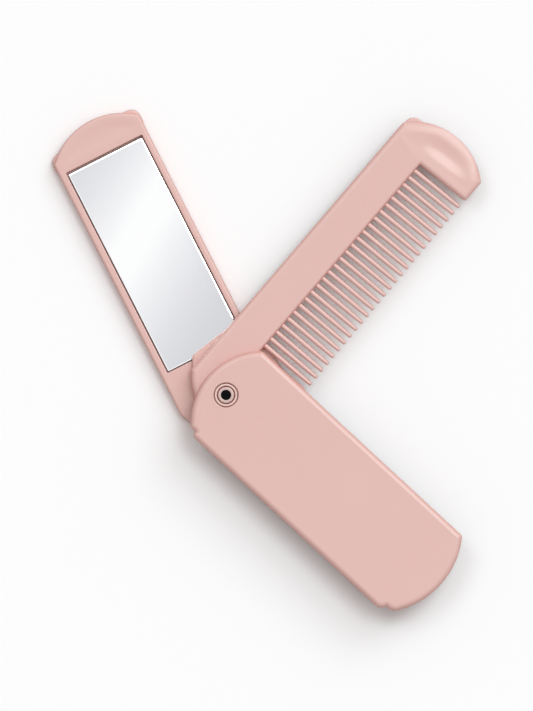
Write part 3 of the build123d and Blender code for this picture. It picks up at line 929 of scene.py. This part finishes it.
cover_bottom, cover_top = level("front_cover")
ceiling = cover_top - cover_skin
counterbore_floor = cover_top - counterbore_depth
counterbore_step = counterbore_radius - bush_clearance_radius
counterbore_rim = [(counterbore_step + inset, height)
                   for inset, height in rounded(counterbore_floor, cover_top, 0, counterbore_round)]
cover = bmesh.new()
cover_low, cover_high = wall(
    cover, cover_outline, rounded(cover_bottom, cover_top, cover_low_round, cover_round))
core_low, core_high = wall(cover, opening(core_outline), [(0, cover_bottom), (0, ceiling)])
bore_low, bore_high = wall(
    cover, bore, [(0, counterbore_floor - bore_land), (0, counterbore_floor), *counterbore_rim])
fill(cover, cover_low, [core_low], up=False)
fill(cover, core_high, [bore_low], up=False)
fill(cover, cover_high, [bore_high])
boss_profile = [(0, cover_bottom + boss_set_back), (0, ceiling + web_sink)]
boss_low, boss_high = wall(cover, circle(boss_radius), boss_profile)
boss_bore_low, boss_bore_high = wall(cover, bore, boss_profile)
fill(cover, boss_low, [boss_bore_low], up=False)
fill(cover, boss_high, [boss_bore_high])
make_piece("cover_moulding", cover, pink_abs, "cover", ["front_cover"])


# Cover ribs. Thin webs moulded in one with the cover under its skin, five across and one along, that keep
# it flat. The long one stands a little further in.
rib_width = 1.0
rib_pitch = 13.0
rib_count = 5
rib_set_back = 0.1
long_rib_set_back = 0.25

rib_tree, sizes, ribs_out = new_geometry_tree("cover_rib_row", {
    "Rib Count": "NodeSocketInt",
    "Rib Pitch": "NodeSocketFloat",
    "Cross Rib": "NodeSocketVector",
    "Long Rib": "NodeSocketVector",
    "Long Rib Middle": "NodeSocketVector",
    "Finish": "NodeSocketMaterial",
})
rib_step = add_node(rib_tree, "ShaderNodeCombineXYZ", inputs={"X": sizes["Rib Pitch"]})
rib_line = add_node(rib_tree, "GeometryNodeMeshLine", inputs={
    "Count": sizes["Rib Count"], "Offset": rib_step.outputs["Vector"]})
cross_rib = add_node(rib_tree, "GeometryNodeMeshCube", inputs={"Size": sizes["Cross Rib"]})
cross_ribs = add_node(rib_tree, "GeometryNodeInstanceOnPoints", inputs={
    "Points": rib_line.outputs["Mesh"], "Instance": cross_rib.outputs["Mesh"]})
long_rib = add_node(rib_tree, "GeometryNodeMeshCube", inputs={"Size": sizes["Long Rib"]})
placed_long_rib = add_node(rib_tree, "GeometryNodeTransform", inputs={
    "Geometry": long_rib.outputs["Mesh"], "Translation": sizes["Long Rib Middle"]})
all_ribs = add_node(rib_tree, "GeometryNodeJoinGeometry")
rib_tree.links.new(cross_ribs.outputs["Instances"], all_ribs.inputs["Geometry"])
rib_tree.links.new(placed_long_rib.outputs["Geometry"], all_ribs.inputs["Geometry"])
real_ribs = add_node(rib_tree, "GeometryNodeRealizeInstances", inputs={
    "Geometry": all_ribs.outputs["Geometry"]})
finished_ribs = add_node(rib_tree, "GeometryNodeSetMaterial", inputs={
    "Geometry": real_ribs.outputs["Geometry"], "Material": sizes["Finish"]})
rib_tree.links.new(finished_ribs.outputs["Geometry"], ribs_out.inputs["Geometry"])

first_rib = boss_radius + rib_pitch / 2
rib_height = ceiling + web_sink - cover_bottom - rib_set_back
long_rib_lift = long_rib_set_back - rib_set_back
across_width = cover_high_edge - cover_low_edge - 2 * cover_wall + 2 * web_sink
across_middle = (cover_high_edge + cover_low_edge) / 2
along_start = boss_radius - web_sink
along_finish = cover_reach - cover_wall + web_sink
ribs = grow("cover_ribs", rib_tree, {
    "Rib Count": rib_count,
    "Rib Pitch": rib_pitch,
    "Cross Rib": (rib_width, across_width, rib_height),
    "Long Rib": (along_finish - along_start, rib_width, rib_height - long_rib_lift),
    "Long Rib Middle": ((along_start + along_finish) / 2 - first_rib, -across_middle, long_rib_lift / 2),
    "Finish": pink_abs,
})
rib_middle = Vector((first_rib, across_middle, cover_bottom + rib_set_back + rib_height / 2))
bmesh.ops.translate(ribs, verts=ribs.verts, vec=rib_middle)
make_piece("cover_ribs", ribs, pink_abs, "cover", [])


# Pivot collar. The flanged bush that the leaves turn on, moulded in a paler acetal that slides well. Its
# flange shows as a ring between two narrow grooves.
collar_flange_radius = 3.27
collar_flange = 1.1
collar_round = 0.12
bush_radius = 2.6
bush_bore_radius = 2.0
recess_radius = 2.72
recess_depth = 0.47
ring_groove_start = 2.36
ring_groove_depth = 0.9


def pale_pink_acetal(top):
    """Acetal, the slippery plastic of small bearings: paler than the leaves, with a slightly waxy polish.
    Below its top it fades to a painted red-brown: painted shade for the two deep grooves, where light
    bounces in the dyed plastic and comes through it."""
    wax_size = 0.4 * MM
    groove_shade_start, groove_shade_full = 0.14, 0.4
    material, tree = new_material("pale_pink_acetal")
    place = add_node(tree, "ShaderNodeTexCoord").outputs["Object"]
    _, tint = soft_patches(tree, place, wax_size, 2.0, "#E6C2B9", "#EBCAC2")
    height = add_node(tree, "ShaderNodeSeparateXYZ", inputs={"Vector": place}).outputs["Z"]
    # Lower down the collar is painted red-brown: painted shade in its grooves.
    above_groove_shade = add_node(tree, "ShaderNodeMapRange", inputs={
        "Value": height, "From Min": (top - groove_shade_full) * MM, "From Max": (top - groove_shade_start) * MM})
    colour = add_node(tree, "ShaderNodeMix", {"data_type": "RGBA"}, {
        "Factor": above_groove_shade.outputs["Result"], "A": srgb("#B4604F"), "B": tint})
    shader = add_node(tree, "ShaderNodeBsdfPrincipled", inputs={
        "Base Color": colour.outputs["Result"], "Roughness": 0.28, "IOR": 1.48})
    return finish_material(material, shader)


collar_bottom, collar_top = level("pivot_collar")
collar_narrowing = collar_flange_radius - bush_radius
collar_profile = [
    (collar_narrowing, collar_bottom),
    (collar_narrowing, collar_top - collar_flange),
    *rounded(collar_top - collar_flange, collar_top, 0, collar_round),
]
recess_widening = recess_radius - bush_bore_radius
recess_profile = [(recess_widening + inset, height)
                  for inset, height in rounded(collar_top - ring_groove_depth, collar_top, 0, collar_round)]
seat_width = ring_groove_start - bush_bore_radius
tube_profile = [
    (0, collar_bottom),
    (0, collar_top - recess_depth),
    (seat_width, collar_top - recess_depth),
    (seat_width, collar_top - ring_groove_depth),
    *recess_profile,
]
collar = closed_form(
    circle(collar_flange_radius), collar_profile, [(opening(circle(bush_bore_radius)), tube_profile)])
make_piece(
    "collar_bush", collar, pale_pink_acetal(collar_top), "mirror_leaf", ["pivot_collar"])


# Pivot rivet. A hollow brass rivet with a dull rose-nickel plating, pressed through the bush and rolled
# over the steel washer below.
rivet_head_radius = 2.38
rivet_head_thickness = 0.45
rivet_shank_radius = 1.95
rivet_tail_radius = 2.7
rivet_tail_thickness = 0.4
rivet_bore_radius = 1.5
rivet_round = 0.18
rivet_bore_round = 0.08


def plated_rivet():
    """Satin nickel with a rose cast: a pale, soft gleam and fine turned rings round the hole."""
    ring_pitch = 0.754 * MM  # Real turning marks are about 0.1 mm apart, too fine to show
    rings_per_scale = 20 / (2 * pi)  # Rings of a wave texture in one metre, at a scale of 1
    material, tree = new_material("satin_rose_nickel")
    place = add_node(tree, "ShaderNodeTexCoord").outputs["Object"]
    rings = add_node(tree, "ShaderNodeTexWave", {
        "wave_type": "RINGS", "rings_direction": "Z"}, {
        "Vector": place, "Scale": 1 / (rings_per_scale * ring_pitch), "Distortion": 0.6,
        "Detail": 1.0})
    gleam = add_node(tree, "ShaderNodeMapRange", inputs={
        "Value": rings.outputs["Fac"], "To Min": 0.34, "To Max": 0.46})
    turned = add_node(tree, "ShaderNodeBump", inputs={
        "Height": rings.outputs["Fac"], "Strength": 0.3, "Distance": 0.004 * MM})
    shader = add_node(tree, "ShaderNodeBsdfPrincipled", inputs={
        "Base Color": srgb("#B39A94"), "Metallic": 0.75, "Roughness": gleam.outputs["Result"],
        "Normal": turned.outputs["Normal"]})
    return finish_material(material, shader)


rivet_bottom, rivet_top = level("pivot_rivet")
head_bottom = rivet_top - rivet_head_thickness
tail_top = rivet_bottom + rivet_tail_thickness
head_narrowing = rivet_tail_radius - rivet_head_radius
shank_narrowing = rivet_tail_radius - rivet_shank_radius
head_profile = [(head_narrowing + inset, height)
                for inset, height in rounded(head_bottom, rivet_top, 0, rivet_round)]
rivet_profile = [
    *rounded(rivet_bottom, tail_top, rivet_round, 0),
    (shank_narrowing, tail_top),
    (shank_narrowing, head_bottom),
    *head_profile,
]
eye_profile = rounded(rivet_bottom, rivet_top, 0, rivet_bore_round)
rivet = closed_form(
    circle(rivet_tail_radius), rivet_profile, [(opening(circle(rivet_bore_radius)), eye_profile)])
make_piece("rivet_turning", rivet, plated_rivet(), "mirror_leaf", ["pivot_rivet"])


# Pivot plug. A soft black rubber plug, pressed into the rivet's bore until it sits a little below the rim.
# It closes the pivot and shows as the black centre.
plug_radius = 1.49
plug_round = 0.18


def black_plug_rubber():
    """Black rubber: nearly no gleam, with a dusty bloom."""
    bloom_size = 0.5 * MM
    material, tree = new_material("black_rubber")
    place = add_node(tree, "ShaderNodeTexCoord").outputs["Object"]
    _, tint = soft_patches(tree, place, bloom_size, 2.0, "#0B0A0A", "#121111")
    shader = add_node(tree, "ShaderNodeBsdfPrincipled", inputs={
        "Base Color": tint, "Roughness": 0.8, "Specular IOR Level": 0.04})
    return finish_material(material, shader)


plug_bottom, plug_top = level("pivot_plug")
plug = closed_form(circle(plug_radius), rounded(plug_bottom, plug_top, plug_round, plug_round))
make_piece("plug_moulding", plug, black_plug_rubber(), "mirror_leaf", ["pivot_plug"])


# Table. A plain matt white board, a hair below the mirror leaf that lies on it. It isn't part of the object,
# and it keeps the object's soft shadow.
table_half = 3000.0
table_level = -0.05


def stage_sheet(name, start, finish, height, turn, material):
    """A flat sheet from its low corner to its high one, as placed along a leaf."""
    corners = [(start[0], start[1]), (finish[0], start[1]), (finish[0], finish[1]), (start[0], finish[1])]
    data = bpy.data.meshes.new(name)
    data.from_pydata([placing(turn) @ Vector((x, y, height)) for x, y in corners], [], [(0, 1, 2, 3)])
    data.materials.append(material)
    sheet = bpy.data.objects.new(name, data)
    bpy.context.collection.objects.link(sheet)
    return sheet


def looked_at(tree):
    """1 where the camera sees a surface, also in a reflection or through glass, and 0 to other light."""
    ray = add_node(tree, "ShaderNodeLightPath").outputs
    in_reflection = add_node(tree, "ShaderNodeMath", {"operation": "MAXIMUM"}, {
        0: ray["Is Camera Ray"], 1: ray["Is Glossy Ray"]}).outputs[0]
    return add_node(tree, "ShaderNodeMath", {"operation": "MAXIMUM"}, {
        0: in_reflection, 1: ray["Is Transmission Ray"]}).outputs[0]


def white_board():
    """Matt white card. To the camera and in reflections it is white, and keeps the soft shadow. To all
    other light it is grey, so it throws less light back up under the object."""
    material, tree = new_material("matt_white_card")
    tint = add_node(tree, "ShaderNodeMix", {"data_type": "RGBA"}, {
        "Factor": looked_at(tree), "A": srgb("#A0A0A0"), "B": srgb("#FDFDFD")})
    shader = add_node(tree, "ShaderNodeBsdfDiffuse", inputs={"Color": tint.outputs["Result"]})
    return finish_material(material, shader)


stage_sheet("table", (-table_half, -table_half), (table_half, table_half), table_level, 0, white_board())


# Glare card. The mirror looks straight up at a card that fades from white to a cool grey on both sides
# of a slanting band. Only reflections see it.
card_level = 300.0
card_margin = 12.0
card_slant = 0.65
card_shades = [  # Shades at their places along the leaf
    (8.0, "#D5D6DA"), (18.0, "#D9DADD"), (28.0, "#E3E3E7"), (40.0, "#F2F2F4"), (50.0, "#FFFFFF"),
    (58.5, "#FFFFFF"), (66.0, "#F4F4F6"), (76.0, "#E7E7EA"), (86.0, "#DFE0E4")]


def glare_card():
    """Glowing card, whose shades follow slanting lines along the mirror leaf."""
    material, tree = new_material("glare_card")
    place = add_node(tree, "ShaderNodeTexCoord").outputs["Object"]
    along_leaf = add_node(tree, "ShaderNodeMapping", {"vector_type": "TEXTURE"}, {
        "Vector": place, "Rotation": (0, 0, radians(mirror_turn)), "Scale": (MM, MM, MM)})
    parts = add_node(tree, "ShaderNodeSeparateXYZ", inputs={"Vector": along_leaf.outputs["Vector"]})
    slanted = add_node(tree, "ShaderNodeMath", {"operation": "MULTIPLY_ADD"}, {
        0: parts.outputs["Y"], 1: card_slant, 2: parts.outputs["X"]})
    start, finish = card_shades[0][0], card_shades[-1][0]
    spread = add_node(tree, "ShaderNodeMapRange", inputs={
        "Value": slanted.outputs[0], "From Min": start, "From Max": finish})
    ramp = add_node(tree, "ShaderNodeValToRGB", inputs={"Fac": spread.outputs["Result"]})
    elements = ramp.color_ramp.elements
    elements[0].position, elements[0].color = 0.0, srgb(card_shades[0][1])
    elements[1].position, elements[1].color = 1.0, srgb(card_shades[-1][1])
    for where, code in card_shades[1:-1]:
        element = elements.new((where - start) / (finish - start))
        element.color = srgb(code)
    glow = add_node(tree, "ShaderNodeEmission", inputs={"Color": ramp.outputs["Color"], "Strength": 1.0})
    return finish_material(material, glow)


card_side = window_high + card_margin
card = stage_sheet(
    "glare_card", (window_start - card_margin, -card_side), (window_finish + card_margin, card_side),
    card_level, mirror_turn, glare_card())
card.visible_camera = False
card.visible_diffuse = False
card.visible_shadow = False
card.visible_transmission = False


# Light. A low and a high soft key light and a broad softbox from the upper right of the picture, a weak
# fill from its upper left, and a white room all round. Together they light a level surface at 1, so colours
# show about as they are written. The room is a little warm and the lamps a little cool, for warm shadows.
# A lamp is its name, its degrees round from the picture's right, its height and share of the light, and how
# many degrees wide it looks.
picture_turn = 42.75
lamps = [
    ("low_key", 50.0, 35.0, 0.11, 30.0),
    ("high_key", 50.0, 65.0, 0.20, 24.0),
    ("softbox", 50.0, 55.0, 0.19, 90.0),
    ("fill", 130.0, 58.0, 0.10, 24.0),
]
room_warmth = (1.10, 0.975, 0.945)

room_share = 1.0 - sum(share for _, _, _, share, _ in lamps)
for name, from_right, height, share, softness in lamps:
    lamp = bpy.data.lights.new(name, "SUN")
    lamp.energy = pi * share / sin(radians(height))
    lamp.angle = radians(softness)
    lamp.color = [(1 - room_share * warmth) / (1 - room_share) for warmth in room_warmth]
    lamp_object = bpy.data.objects.new(name, lamp)
    lamp_object.rotation_euler = (radians(90 - height), 0, radians(picture_turn + from_right + 90))
    bpy.context.collection.objects.link(lamp_object)

world = bpy.data.worlds.new("white_room")
world.use_nodes = True
room = world.node_tree
room.nodes.clear()
room_colour = add_node(room, "ShaderNodeMix", {"data_type": "RGBA"}, {
    "Factor": looked_at(room), "A": (*(room_share * warmth for warmth in room_warmth), 1.0),
    "B": srgb("#FFFFFF")})
room_light = add_node(room, "ShaderNodeBackground", inputs={"Color": room_colour.outputs["Result"]})
add_node(room, "ShaderNodeOutputWorld", inputs={"Surface": room_light.outputs["Background"]})
bpy.context.scene.world = world
bpy.context.scene.view_settings.view_transform = "Standard"


# Camera. The picture is taken from straight above with a long lens, so an orthographic camera sees the
# same. The picture's height is known from the scale that the part's size is worked out with.
mm_per_pixel = 0.292
picture_height = 711
picture_middle = (0.85, 16.5)
camera_height = 600.0

camera = bpy.data.cameras.new("camera")
camera.type = "ORTHO"
camera.sensor_fit = "VERTICAL"
camera.ortho_scale = picture_height * mm_per_pixel * MM
camera_object = bpy.data.objects.new("camera", camera)
camera_object.location = [place * MM for place in (*picture_middle, camera_height)]
camera_object.rotation_euler = (0, 0, radians(picture_turn))
bpy.context.collection.objects.link(camera_object)
bpy.context.scene.camera = camera_object
